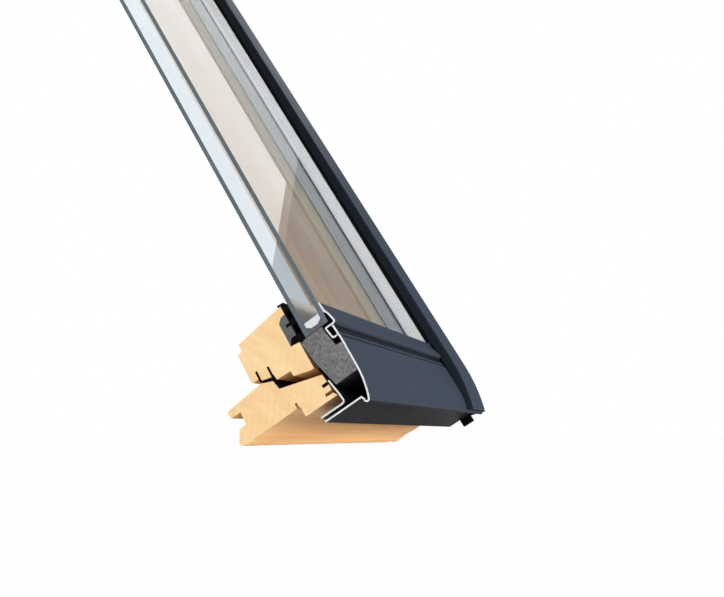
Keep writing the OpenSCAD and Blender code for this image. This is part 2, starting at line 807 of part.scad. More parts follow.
module insulation_bottom() {
  foam() along_bottom(0, glass_x + sash_foot - 1) polygon(bottom_insulation_profile());
}
module insulation_side() {
  foam() along_side(glass_lap + 2, glass_h - 1) polygon(side_insulation_profile());
}
module insulation_top() {
  foam() along_top(0, glass_x - glass_lap - 1.5) polygon(top_insulation_profile());
}
module bead_bottom() {
  grey_metal() along_bottom(0, plate_x) polygon(sheet(bead_line(), sheet_t));
}
module bead_gasket_bottom() {
  rubber() along_bottom(0, glass_x - 1) polygon(bead_gasket_profile());
}
module front_plate() {
  grey_metal() difference() {
    along_bottom(0, plate_x) polygon(sheet(plate_line(), sheet_t));
    // The return stops short of the corner
    translate([flange_x, -flange_a - sheet_t, -far]) cube([far, 2 * sheet_t, far + flange_b]);
  }
}
module front_plate_end_cap() {
  rubber() along_bottom(plate_x - 1.6, plate_x)
    polygon(concat(
      [[bead_end + 3, side_wall_b + 3.5], [bead_end + 3, plate_b - sheet_t - touch]],
      arc(plate_arc, plate_r - sheet_t / 2 - touch, 90, 92 - plate_turn),
      [[flange_a - 1.2, flange_b - 1], [flange_a - 1.2, side_wall_b + 3.5]]
    ));
}
module side_cover() {
  line = side_cover_line();
  centre_b = ridge_b - nose_r;
  grey_metal() difference() {
    union() {
      along_side(nose_u, glass_h + hinge_a - 7) polygon(sheet(line, sheet_t));
      translate([glass_x, nose_u, centre_b])
        rotate([0, -90, 180])
          rotate_extrude(angle = nose_angle)
            polygon([for (p = sheet(line, sheet_t)) [p[1] - centre_b, p[0]]]);
    }
    along_bottom(glass_x - glass_lap - 5, glass_x) polygon(front_skin());
    // The lower end stays above the frame's covers
    translate([0, -far, -far]) cube([2 * far, far, far + frame_cover_b + sheet_t / 2 + clear]);
  }
}
module side_cover_gasket() {
  rubber() intersection() {
    along_side(glass_lap + 1.5, glass_h + glass_lap) polygon(lip_gasket());
    right_side();
  }
}
module top_cover() {
  grey_metal() difference() {
    along_top(0, glass_x) polygon(sheet(top_cover_line(), sheet_t));
    along_side(0, glass_h + far) polygon(side_cover_space());
  }
}
module top_cover_gasket() { rubber() mitred_top() polygon(lip_gasket()); }

// The window leans at the pitch of the roof
// The origin is on the side face, between the lower bracket holes
module installed() {
  rotate([roof_pitch, 0, 0]) translate([-side_x, -bracket_u, -bracket_b]) children();
}

installed() frame_bottom_rail();
installed() frame_right_stile();
installed() frame_top_rail();
installed() frame_bottom_cover();
installed() frame_side_cover();
installed() frame_top_cover();
installed() cover_clip_bottom();
installed() cover_clip_side();
installed() corner_plug();
installed() top_gap_seal();
installed() hinge_frame_leaf();
installed() hinge_pin();
installed() hinge_frame_screws();
installed() sash_bottom_rail();
installed() sash_right_stile();
installed() sash_top_rail();
installed() inner_pane();
installed() outer_pane();
installed() spacer_bar();
installed() edge_sealant();
installed() gasket_carrier_bottom();
installed() gasket_carrier_side();
installed() gasket_carrier_top();
installed() glazing_gasket_bottom();
installed() glazing_gasket_side();
installed() glazing_gasket_top();
installed() sash_seal_bottom();
installed() sash_seal_side();
installed() sash_seal_top();
installed() insulation_bottom();
installed() insulation_side();
installed() insulation_top();
installed() bead_bottom();
installed() bead_gasket_bottom();
installed() front_plate();
installed() front_plate_end_cap();
installed() side_cover();
installed() side_cover_gasket();
installed() top_cover();
installed() top_cover_gasket();
installed() hinge_sash_leaf();
installed() hinge_sash_screws();
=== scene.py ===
import math

import bmesh
import bpy
from mathutils import Matrix, Vector


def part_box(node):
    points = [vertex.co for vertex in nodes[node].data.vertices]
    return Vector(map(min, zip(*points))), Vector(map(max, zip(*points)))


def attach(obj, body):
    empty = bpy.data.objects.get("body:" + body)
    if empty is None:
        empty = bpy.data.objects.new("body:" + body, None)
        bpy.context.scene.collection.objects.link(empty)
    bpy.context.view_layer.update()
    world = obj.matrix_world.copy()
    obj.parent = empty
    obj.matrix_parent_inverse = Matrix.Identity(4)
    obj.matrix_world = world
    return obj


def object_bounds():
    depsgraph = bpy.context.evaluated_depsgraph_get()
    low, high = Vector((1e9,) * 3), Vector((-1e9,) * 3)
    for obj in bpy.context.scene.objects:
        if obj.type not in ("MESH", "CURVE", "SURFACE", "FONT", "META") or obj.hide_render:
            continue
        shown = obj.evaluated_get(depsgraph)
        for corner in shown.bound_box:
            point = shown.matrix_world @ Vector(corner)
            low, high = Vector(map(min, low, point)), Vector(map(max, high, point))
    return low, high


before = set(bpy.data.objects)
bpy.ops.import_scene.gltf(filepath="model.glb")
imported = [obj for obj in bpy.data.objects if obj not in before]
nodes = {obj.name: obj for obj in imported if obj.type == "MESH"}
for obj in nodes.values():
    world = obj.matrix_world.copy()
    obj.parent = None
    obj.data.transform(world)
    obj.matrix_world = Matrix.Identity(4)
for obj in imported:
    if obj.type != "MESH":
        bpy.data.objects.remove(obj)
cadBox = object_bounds()
scene = bpy.context.scene
scene.view_settings.view_transform = "Standard"

roofPitch = math.radians(58.6)  # slope of the window
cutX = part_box("outer_pane")[0][0]  # the sawn face of the sample
onPlane = 1e-5  # a vertex this close to the sawn face is on it
slopeTurn = Matrix.Rotation(roofPitch, 3, "X")  # from the window's own axes
acrossSlope = slopeTurn @ Vector((0, 0, 1))  # out of the roof
upSlope = slopeTurn @ Vector((0, 1, 0))
sameWay = 0.999  # cosine above which a face looks along a direction


def flatBox(node):  # a node's limits in the window's own axes
    turned = [slopeTurn.transposed() @ v.co for v in nodes[node].data.vertices]
    return [(min(p[i] for p in turned), max(p[i] for p in turned)) for i in range(3)]


# Camera, at the place and with the lens that the photograph was taken with

cameraView = {
    "place": (-0.9136, -0.3798, -0.1230),
    "forward": (0.9075, 0.3778, 0.1838),
    "lens": 36.27,  # mm, on a 36 mm wide sensor
}


def addCamera(v):
    forward = Vector(v["forward"]).normalized()
    right = forward.cross(Vector((0, 0, 1))).normalized()
    up = right.cross(forward)
    data = bpy.data.cameras.new("photoCamera")
    data.sensor_width = 36
    data.lens = v["lens"]
    data.clip_start = 0.01
    cam = bpy.data.objects.new("photoCamera", data)
    turn = Matrix((right, up, -forward)).transposed().to_4x4()
    cam.matrix_world = Matrix.Translation(v["place"]) @ turn
    scene.collection.objects.link(cam)
    scene.camera = cam


addCamera(cameraView)
print("camera placed")


# Studio: a white world to look at, soft light on the object, a pale floor

studio = {
    "skyLight": 0.45,  # strength of the world on the object
    "floorColour": (0.88, 0.88, 0.88, 1),
    "floorSize": 40.0,
    "floorWhite": 0.97,  # share of plain white that the camera sees in the floor
    "lamps": {
        "left": {"place": (-4.2, 0.9, 0.6), "aim": (-0.2, 0.0, 0.1), "size": 3.0, "power": 127, "spread": 180},
        "right": {"place": (1.2, -1.8, 0.12), "aim": (-0.15, -0.05, 0.1), "size": 1.2, "power": 26, "spread": 180},
        "front": {"place": (0.3, -2.2, 1.3), "aim": (-0.15, 0.1, 0.3), "size": 1.6, "power": 12, "spread": 180},
        "low": {"place": (-0.25, -1.3, -0.05), "aim": (-0.2, -0.1, -0.1), "size": 0.5, "power": 3.5, "spread": 60},
    },
}

# cards around the set, which only mirrored rays meet: one keeps the lower glass clear, one the side cover dark,
# and one gives the upper glass its white sheen
cards = {
    "clear": {
        "colour": (0.55, 0.76, 1.0, 1),
        "tone": 0.36,
        "corners": [(0.9, -1.6, -0.1), (0.9, 1.2, -0.1), (0.9, 1.2, 1.26), (0.9, -1.6, 0.317)],
    },
    "dark": {
        "colour": (1, 1, 1, 1),
        "tone": 0.1,
        "corners": [(-1.6, -2.4, 1.6), (0.7, -2.4, 1.6), (0.7, 0.15, 1.6), (-1.6, 0.15, 1.6)],
    },
    "sheen": {
        "colour": (0.9, 0.95, 1.0, 1),
        "tone": 1.4,
        "corners": [(0.9, -1.6, 0.317), (0.9, 1.2, 1.26), (0.9, 1.2, 3.0), (0.9, -1.6, 3.0)],
    },
}


def addWorld(v):
    world = bpy.data.worlds.new("studioWorld")
    scene.world = world
    world.use_nodes = True
    tree = world.node_tree
    tree.nodes.clear()
    path = tree.nodes.new("ShaderNodeLightPath")
    seen = tree.nodes.new("ShaderNodeMath")
    seen.operation = "MAXIMUM"
    seenAlso = tree.nodes.new("ShaderNodeMath")
    seenAlso.operation = "MAXIMUM"
    light = tree.nodes.new("ShaderNodeBackground")
    light.inputs["Strength"].default_value = v["skyLight"]
    white = tree.nodes.new("ShaderNodeBackground")
    mix = tree.nodes.new("ShaderNodeMixShader")
    out = tree.nodes.new("ShaderNodeOutputWorld")
    for background in (light, white):
        background.inputs["Color"].default_value = (1, 1, 1, 1)
    tree.links.new(path.outputs["Is Camera Ray"], seen.inputs[0])
    tree.links.new(path.outputs["Is Glossy Ray"], seen.inputs[1])
    tree.links.new(seen.outputs[0], seenAlso.inputs[0])
    tree.links.new(path.outputs["Is Transmission Ray"], seenAlso.inputs[1])
    tree.links.new(seenAlso.outputs[0], mix.inputs["Fac"])
    tree.links.new(light.outputs[0], mix.inputs[1])
    tree.links.new(white.outputs[0], mix.inputs[2])
    tree.links.new(mix.outputs[0], out.inputs["Surface"])


def stagePlane(name, corners):
    mesh = bpy.data.meshes.new(name)
    mesh.from_pydata(corners, [], [(0, 1, 2, 3)])
    plane = bpy.data.objects.new(name, mesh)
    scene.collection.objects.link(plane)
    mat = bpy.data.materials.new(name + "Finish")
    mat.use_nodes = True
    mat.node_tree.nodes.clear()
    mesh.materials.append(mat)
    return plane, mat.node_tree


def addFloor(v):
    half = v["floorSize"] / 2
    z = cadBox[0][2]
    corners = [(-half, -half, z), (half, -half, z), (half, half, z), (-half, half, z)]
    tree = stagePlane("floor", corners)[1]
    path = tree.nodes.new("ShaderNodeLightPath")
    share = tree.nodes.new("ShaderNodeMath")
    share.operation = "MULTIPLY"
    share.inputs[1].default_value = v["floorWhite"]
    matte = tree.nodes.new("ShaderNodeBsdfDiffuse")
    matte.inputs["Color"].default_value = v["floorColour"]
    white = tree.nodes.new("ShaderNodeEmission")
    mix = tree.nodes.new("ShaderNodeMixShader")
    out = tree.nodes.new("ShaderNodeOutputMaterial")
    tree.links.new(path.outputs["Is Camera Ray"], share.inputs[0])
    tree.links.new(share.outputs[0], mix.inputs["Fac"])
    tree.links.new(matte.outputs[0], mix.inputs[1])
    tree.links.new(white.outputs[0], mix.inputs[2])
    tree.links.new(mix.outputs[0], out.inputs["Surface"])


def addCard(name, v):
    card, tree = stagePlane(name + "Card", v["corners"])
    card.visible_camera = False
    card.visible_diffuse = False
    card.visible_shadow = False
    path = tree.nodes.new("ShaderNodeLightPath")
    clear = tree.nodes.new("ShaderNodeBsdfTransparent")
    seen = tree.nodes.new("ShaderNodeEmission")
    seen.inputs["Color"].default_value = v["colour"]
    seen.inputs["Strength"].default_value = v["tone"]
    mix = tree.nodes.new("ShaderNodeMixShader")
    out = tree.nodes.new("ShaderNodeOutputMaterial")
    tree.links.new(path.outputs["Glossy Depth"], mix.inputs["Fac"])
    tree.links.new(clear.outputs[0], mix.inputs[1])
    tree.links.new(seen.outputs[0], mix.inputs[2])
    tree.links.new(mix.outputs[0], out.inputs["Surface"])


def addLamps(v):
    for name, lamp in v["lamps"].items():
        data = bpy.data.lights.new(name + "Lamp", "AREA")
        data.size = lamp["size"]
        data.energy = lamp["power"]
        data.spread = math.radians(lamp["spread"])
        obj = bpy.data.objects.new(name + "Lamp", data)
        place = Vector(lamp["place"])
        turn = (Vector(lamp["aim"]) - place).to_track_quat("-Z", "Y").to_matrix().to_4x4()
        obj.matrix_world = Matrix.Translation(place) @ turn
        obj.visible_camera = False
        obj.visible_glossy = False
        scene.collection.objects.link(obj)


addWorld(studio)
addFloor(studio)
for name, card in cards.items():
    addCard(name, card)
addLamps(studio)
print("studio lit")


# Shader groups shared by the finishes


def newGroup(name, inputs, outputs):
    tree = bpy.data.node_groups.new(name, "ShaderNodeTree")
    for label, kind, value in inputs:
        socket = tree.interface.new_socket(label, in_out="INPUT", socket_type="NodeSocket" + kind)
        socket.default_value = value
    for label, kind in outputs:
        tree.interface.new_socket(label, in_out="OUTPUT", socket_type="NodeSocket" + kind)
    return tree, tree.nodes.new("NodeGroupInput"), tree.nodes.new("NodeGroupOutput")


def feed(tree, socket, value):
    if isinstance(value, (int, float, tuple)):
        socket.default_value = value
    elif value is not None:
        tree.links.new(value, socket)


def mathNode(tree, operation, a, b=None, c=None, clamp=False):
    node = tree.nodes.new("ShaderNodeMath")
    node.operation = operation
    node.use_clamp = clamp
    for socket, value in zip(node.inputs, (a, b, c)):
        feed(tree, socket, value)
    return node.outputs[0]


def vectorNode(tree, operation, a, b):
    node = tree.nodes.new("ShaderNodeVectorMath")
    node.operation = operation
    feed(tree, node.inputs[0], a)
    feed(tree, node.inputs[1], b)
    return node.outputs["Value"] if operation in ("DISTANCE", "DOT_PRODUCT") else node.outputs["Vector"]


def mixColour(tree, factor, a, b):
    node = tree.nodes.new("ShaderNodeMix")
    node.data_type = "RGBA"
    for socket, value in ((node.inputs[0], factor), (node.inputs[6], a), (node.inputs[7], b)):
        feed(tree, socket, value)
    return node.outputs[2]


def rangeNode(tree, value, low, high, toLow=0.0, toHigh=1.0):
    node = tree.nodes.new("ShaderNodeMapRange")
    for label, number in (("From Min", low), ("From Max", high), ("To Min", toLow), ("To Max", toHigh)):
        node.inputs[label].default_value = number
    tree.links.new(value, node.inputs["Value"])
    return node.outputs[0]


def objectPlace(tree):
    return tree.nodes.new("ShaderNodeTexCoord").outputs["Object"]


def windowPlace(tree):  # the same in the window's own axes
    turn = tree.nodes.new("ShaderNodeMapping")
    turn.inputs["Rotation"].default_value = (-roofPitch, 0, 0)
    tree.links.new(objectPlace(tree), turn.inputs["Vector"])
    return turn.outputs[0]


def noiseNode(tree, vector, scale, detail, rough):
    node = tree.nodes.new("ShaderNodeTexNoise")
    node.inputs["Scale"].default_value = scale
    node.inputs["Detail"].default_value = detail
    node.inputs["Roughness"].default_value = rough
    tree.links.new(vector, node.inputs["Vector"])
    return node.outputs["Fac"]


def makeSawnFace():
    tree, given, out = newGroup("sawnFace", [("Depth", "Float", 0.0004)], [("Mask", "Float")])
    split = tree.nodes.new("ShaderNodeSeparateXYZ")
    tree.links.new(objectPlace(tree), split.inputs[0])
    inward = mathNode(tree, "SUBTRACT", split.outputs["X"], cutX)
    tree.links.new(mathNode(tree, "LESS_THAN", inward, given.outputs["Depth"]), out.inputs["Mask"])
    return tree


grainShape = {
    "wander": 9,  # scales of the four noises
    "patch": 26,
    "streak": 120,
    "fibre": 900,
    "bend": 0.03,  # how far the rings wander
    "thin": 2.5,  # power that narrows the late wood
    "patchRange": (0.35, 0.7),
    "streakRange": (0.3, 0.75),
    "fibreTone": 0.2,
    "toneFloor": 0.1,
    "streakHeight": 0.4,
    "roughness": (0.5, 0.64),
}


def makePineGrain():
    tree, given, out = newGroup(
        "pineGrain",
        [
            ("Stretch", "Vector", (1, 1, 1)),
            ("Pith", "Vector", (0, 0, 0)),
            ("Early Wood", "Color", (0.8, 0.55, 0.3, 1)),
            ("Late Wood", "Color", (0.7, 0.4, 0.2, 1)),
            ("Ring", "Float", 0.006),
            ("Ring Tone", "Float", 0.3),
            ("Streak Tone", "Float", 0.6),
            ("Streak Shape", "Vector", (1, 1, 1)),
            ("Lean", "Float", 0.0),
        ],
        [("Color", "Color"), ("Height", "Float"), ("Roughness", "Float")],
    )
    grain = vectorNode(tree, "MULTIPLY", windowPlace(tree), given.outputs["Stretch"])
    v = grainShape
    wander = noiseNode(tree, grain, v["wander"], 2, 0.5)
    away = vectorNode(tree, "DISTANCE", grain, given.outputs["Pith"])
    bent = mathNode(tree, "MULTIPLY_ADD", wander, v["bend"], away)
    rings = mathNode(tree, "FRACT", mathNode(tree, "DIVIDE", bent, given.outputs["Ring"]))
    late = mathNode(tree, "POWER", rings, v["thin"])
    patchy = rangeNode(tree, noiseNode(tree, grain, v["patch"], 2, 0.5), *v["patchRange"])
    late = mathNode(tree, "MULTIPLY", late, patchy)
    leaning = tree.nodes.new("ShaderNodeVectorRotate")
    leaning.rotation_type = "X_AXIS"
    tree.links.new(windowPlace(tree), leaning.inputs["Vector"])
    tree.links.new(given.outputs["Lean"], leaning.inputs["Angle"])
    drawn = vectorNode(tree, "MULTIPLY", leaning.outputs["Vector"], given.outputs["Streak Shape"])
    streak = rangeNode(tree, noiseNode(tree, drawn, v["streak"], 3, 0.6), *v["streakRange"])
    fibre = noiseNode(tree, grain, v["fibre"], 2, 0.6)
    tone = mathNode(tree, "MULTIPLY", late, given.outputs["Ring Tone"])
    tone = mathNode(tree, "MULTIPLY_ADD", streak, given.outputs["Streak Tone"], tone)
    tone = mathNode(tree, "MULTIPLY_ADD", fibre, v["fibreTone"], tone)
    factor = mathNode(tree, "SUBTRACT", tone, v["toneFloor"], clamp=True)
    colour = mixColour(tree, factor, given.outputs["Early Wood"], given.outputs["Late Wood"])
    tree.links.new(colour, out.inputs["Color"])
    tree.links.new(mathNode(tree, "MULTIPLY_ADD", streak, v["streakHeight"], fibre), out.inputs["Height"])
    tree.links.new(rangeNode(tree, factor, 0, 1, *v["roughness"]), out.inputs["Roughness"])
    return tree


mottleShape = {"broad": 9, "fineShare": 0.5, "range": (0.35, 0.65)}


def makeFineMottle():
    tree, given, out = newGroup(
        "fineMottle",
        [
            ("Scale", "Float", 600.0),
            ("First", "Color", (0.1, 0.1, 0.1, 1)),
            ("Second", "Color", (0.2, 0.2, 0.2, 1)),
        ],
        [("Color", "Color"), ("Height", "Float"), ("Broad", "Float")],
    )
    v = mottleShape
    place = objectPlace(tree)
    fine = tree.nodes.new("ShaderNodeTexNoise")
    fine.inputs["Detail"].default_value = 2
    tree.links.new(place, fine.inputs["Vector"])
    tree.links.new(given.outputs["Scale"], fine.inputs["Scale"])
    broad = noiseNode(tree, place, v["broad"], 3, 0.55)
    rest = mathNode(tree, "MULTIPLY", broad, 1 - v["fineShare"])
    blend = mathNode(tree, "MULTIPLY_ADD", fine.outputs["Fac"], v["fineShare"], rest)
    sharp = rangeNode(tree, blend, *v["range"])
    tree.links.new(mixColour(tree, sharp, given.outputs["First"], given.outputs["Second"]), out.inputs["Color"])
    tree.links.new(fine.outputs["Fac"], out.inputs["Height"])
    tree.links.new(broad, out.inputs["Broad"])
    return tree


sawnFace = makeSawnFace()
pineGrain = makePineGrain()
fineMottle = makeFineMottle()


# Finishes


def newFinish(name, roughness=0.5, metallic=0.0, gloss=0.5):
    mat = bpy.data.materials.new(name)
    mat.use_nodes = True
    tree = mat.node_tree
    surface = tree.nodes["Principled BSDF"]
    surface.inputs["Roughness"].default_value = roughness
    surface.inputs["Metallic"].default_value = metallic
    surface.inputs["Specular IOR Level"].default_value = gloss
    return mat, tree, surface


def useGroup(tree, group, **values):
    node = tree.nodes.new("ShaderNodeGroup")
    node.node_tree = group
    for label, value in values.items():
        node.inputs[label.replace("_", " ")].default_value = value
    return node


fineBump = 0.0002  # depth of the bump on smooth pieces


def addBump(tree, surface, height, strength, distance):
    bump = tree.nodes.new("ShaderNodeBump")
    bump.inputs["Strength"].default_value = strength
    bump.inputs["Distance"].default_value = distance
    tree.links.new(height, bump.inputs["Height"])
    tree.links.new(bump.outputs["Normal"], surface.inputs["Normal"])


def facing(tree, direction, least):  # 1 on faces that look that way, in the piece's own axes
    normal = tree.nodes.new("ShaderNodeTexCoord").outputs["Normal"]
    return mathNode(tree, "GREATER_THAN", vectorNode(tree, "DOT_PRODUCT", normal, tuple(direction)), least)


pine = {
    "early": (0.87, 0.60, 0.32, 1),
    "late": (0.66, 0.36, 0.15, 1),
    # the sawn faces take paler copies of the pine colours: painted light, as if these faces were lit more than the
    # sides
    "sawnEarlyPaintedLight": (0.92, 0.68, 0.38, 1),
    "sawnLatePaintedLight": (0.80, 0.50, 0.23, 1),
    "pale": (1.0, 0.88, 0.66, 1),  # painted highlight on the inner face of the stile beside the glass
    "paintedHighlightBand": 0.024,  # width of that painted highlight, from the glass down
    "paintedHighlightFade": 0.004,
    "ring": 0.0065,
    "along": 0.035,  # the grain's scale along the wood, against 1 across it
    "sawnRings": 0.4,
    "sawnStreaks": 0.75,
    "sawnShape": (1.0, 0.22, 1.0),
    "lean": 0.5,  # of the streaks on the sawn faces
    "gloss": 0.3,
    "bump": 0.12,
    "bumpDepth": 0.0004,
}


def paintedHighlightMask(tree):  # 1 on the inner face of the stile, in a band under the glazing where a highlight is painted
    split = tree.nodes.new("ShaderNodeSeparateXYZ")
    tree.links.new(windowPlace(tree), split.inputs[0])
    paintedHighlightLow = flatBox("inner_pane")[2][0] - pine["paintedHighlightBand"]
    fade = rangeNode(tree, split.outputs["Z"], paintedHighlightLow, paintedHighlightLow + pine["paintedHighlightFade"])
    return mathNode(tree, "MULTIPLY", fade, facing(tree, (-1, 0, 0), 0.5))


def pineFinish(name, along, pith, streaks, fineness=1.0, paintedHighlightBand=False):
    mat, tree, surface = newFinish(name, gloss=pine["gloss"])
    stretch = tuple(pine["along"] if i == along else 1.0 for i in range(3))
    both = {"Stretch": stretch, "Pith": pith, "Ring": pine["ring"]}
    side = useGroup(
        tree,
        pineGrain,
        Early_Wood=pine["early"],
        Late_Wood=pine["late"],
        Streak_Tone=streaks,
        Streak_Shape=tuple(n * fineness for n in stretch),
        **both,
    )
    # the sawn faces: end grain in the paler, painted-light copies of the pine colours
    end = useGroup(
        tree,
        pineGrain,
        Early_Wood=pine["sawnEarlyPaintedLight"],
        Late_Wood=pine["sawnLatePaintedLight"],
        Ring_Tone=pine["sawnRings"],
        Streak_Tone=pine["sawnStreaks"],
        Streak_Shape=pine["sawnShape"],
        Lean=pine["lean"],
        **both,
    )
    sideColour = side.outputs["Color"]
    # painted highlight: a paler band on the stile's inner face under the glazing
    if paintedHighlightBand:
        sideColour = mixColour(tree, paintedHighlightMask(tree), sideColour, pine["pale"])
    mask = useGroup(tree, sawnFace)
    colour = mixColour(tree, mask.outputs["Mask"], sideColour, end.outputs["Color"])
    tree.links.new(colour, surface.inputs["Base Color"])
    tree.links.new(side.outputs["Roughness"], surface.inputs["Roughness"])
    addBump(tree, surface, side.outputs["Height"], pine["bump"], pine["bumpDepth"])
    return mat


paint = {
    "first": (0.022, 0.027, 0.039, 1),
    "second": (0.026, 0.032, 0.046, 1),
    "paintedShade": (0.007, 0.009, 0.013, 1),  # painted shade: darker on the faces that are folded under, and on the side cover's inner slope
    "bareEdge": (0.72, 0.72, 0.74, 1),
    "darkCoatAndVoidShade": (0.004, 0.004, 0.005, 1),  # near black inside of the folded front: partly its dark inner coat, partly painted shade for the void behind it
    "roughness": (0.40, 0.48),
    "gloss": 0.04,
    "peel": 900.0,  # orange peel, waves per metre
    "bump": 0.03,
}


def paintFinish(name, shaded=None, inside=None):
    mat, tree, surface = newFinish(name, gloss=paint["gloss"])
    mottle = useGroup(tree, fineMottle, Scale=paint["peel"], First=paint["first"], Second=paint["second"])
    colour = mottle.outputs["Color"]
    if shaded is not None:
        # painted shade on the faces that look the given way
        colour = mixColour(tree, facing(tree, *shaded), colour, paint["paintedShade"])
    if inside is not None:
        # painted shade: the inside of the folded front made near black, so the void behind it reads dark
        colour = mixColour(tree, facing(tree, *inside), colour, paint["darkCoatAndVoidShade"])
    edge = useGroup(tree, sawnFace)
    colour = mixColour(tree, edge.outputs["Mask"], colour, paint["bareEdge"])
    tree.links.new(colour, surface.inputs["Base Color"])
    rough = rangeNode(tree, mottle.outputs["Broad"], 0.3, 0.7, *paint["roughness"])
    tree.links.new(rough, surface.inputs["Roughness"])
    addBump(tree, surface, mottle.outputs["Height"], paint["bump"], fineBump)
    return mat


glazing = {
    "outerTint": (0.99, 1.0, 0.996, 1),
    "innerTint": (0.63, 0.675, 0.70, 1),
    "outerIndex": 1.035,  # low, so that the outer pane hardly mirrors
    "innerIndex": 1.45,
    "vary": 1.02,  # second tint of the mottle
    "mottle": 30.0,
    "edge": (0.080, 0.108, 0.126, 1),
    "edgeLight": (0.110, 0.143, 0.162, 1),
}


def glassFinish(name, tint, index):
    mat, tree, surface = newFinish(name, 0.0)
    surface.inputs["Transmission Weight"].default_value = 1.0
    surface.inputs["IOR"].default_value = index
    second = tuple(min(1.0, c * glazing["vary"]) for c in tint)
    mottle = useGroup(tree, fineMottle, Scale=glazing["mottle"], First=tint, Second=second)
    tree.links.new(mottle.outputs["Color"], surface.inputs["Base Color"])
    return mat


mottledBump = 0.1


def mottledFinish(name, first, second, roughness, scale, gloss=0.5, metallic=0.0):
    mat, tree, surface = newFinish(name, roughness, metallic, gloss)
    mottle = useGroup(tree, fineMottle, Scale=scale, First=first, Second=second)
    tree.links.new(mottle.outputs["Color"], surface.inputs["Base Color"])
    addBump(tree, surface, mottle.outputs["Height"], mottledBump, fineBump)
    return mat


spacer = {
    "first": (0.92, 0.94, 0.96, 1),
    "second": (0.96, 0.97, 0.985, 1),
    "sawn": (0.66, 0.68, 0.73, 1),
    "mottle": 900.0,
}


def spacerFinish():
    mat, tree, surface = newFinish("whiteSpacer", 0.5, gloss=0.2)
    mottle = useGroup(tree, fineMottle, Scale=spacer["mottle"], First=spacer["first"], Second=spacer["second"])
    cut = useGroup(tree, sawnFace)
    colour = mixColour(tree, cut.outputs["Mask"], mottle.outputs["Color"], spacer["sawn"])
    tree.links.new(colour, surface.inputs["Base Color"])
    addBump(tree, surface, mottle.outputs["Height"], mottledBump, fineBump)
    return mat


foam = {
    "bead": 420.0,  # beads per metre
    "beadTone": 0.45,  # most that a bead is darkened
    "speck": 330.0,
    "speckRare": 0.72,  # share of the cells without a speck
    "speckEdge": (0.16, 0.3),
    "speckStrength": 0.85,
    "skinShare": 0.8,
    "bump": 0.25,
    "bumpDepth": 0.0006,
    "pale": (0.25, 0.25, 0.255, 1),
    "dark": (0.095, 0.095, 0.10, 1),
    "speckTone": (0.045, 0.045, 0.048, 1),
    "skin": (0.02, 0.02, 0.021, 1),  # moulded faces, darker than the sawn one
}


def foamFinish():
    mat, tree, surface = newFinish("greyFoam", 0.9, gloss=0.15)
    place = objectPlace(tree)
    mottle = useGroup(tree, fineMottle, Scale=foam["bead"], First=foam["dark"], Second=foam["pale"])
    cells = tree.nodes.new("ShaderNodeTexVoronoi")
    cells.inputs["Scale"].default_value = foam["bead"]
    tree.links.new(place, cells.inputs["Vector"])
    bead = tree.nodes.new("ShaderNodeSeparateColor")
    tree.links.new(cells.outputs["Color"], bead.inputs[0])
    darker = rangeNode(tree, bead.outputs[0], 0, 1, 0.0, foam["beadTone"])
    colour = mixColour(tree, darker, mottle.outputs["Color"], foam["dark"])
    specks = tree.nodes.new("ShaderNodeTexVoronoi")
    specks.inputs["Scale"].default_value = foam["speck"]
    tree.links.new(place, specks.inputs["Vector"])
    chosen = tree.nodes.new("ShaderNodeSeparateColor")
    tree.links.new(specks.outputs["Color"], chosen.inputs[0])
    rare = mathNode(tree, "GREATER_THAN", chosen.outputs[1], foam["speckRare"])
    near = rangeNode(tree, specks.outputs["Distance"], *foam["speckEdge"], foam["speckStrength"], 0.0)
    colour = mixColour(tree, mathNode(tree, "MULTIPLY", rare, near), colour, foam["speckTone"])
    skin = mixColour(tree, foam["skinShare"], colour, foam["skin"])
    cut = useGroup(tree, sawnFace)
    tree.links.new(mixColour(tree, cut.outputs["Mask"], skin, colour), surface.inputs["Base Color"])
    addBump(tree, surface, cells.outputs["Distance"], foam["bump"], foam["bumpDepth"])
    return mat


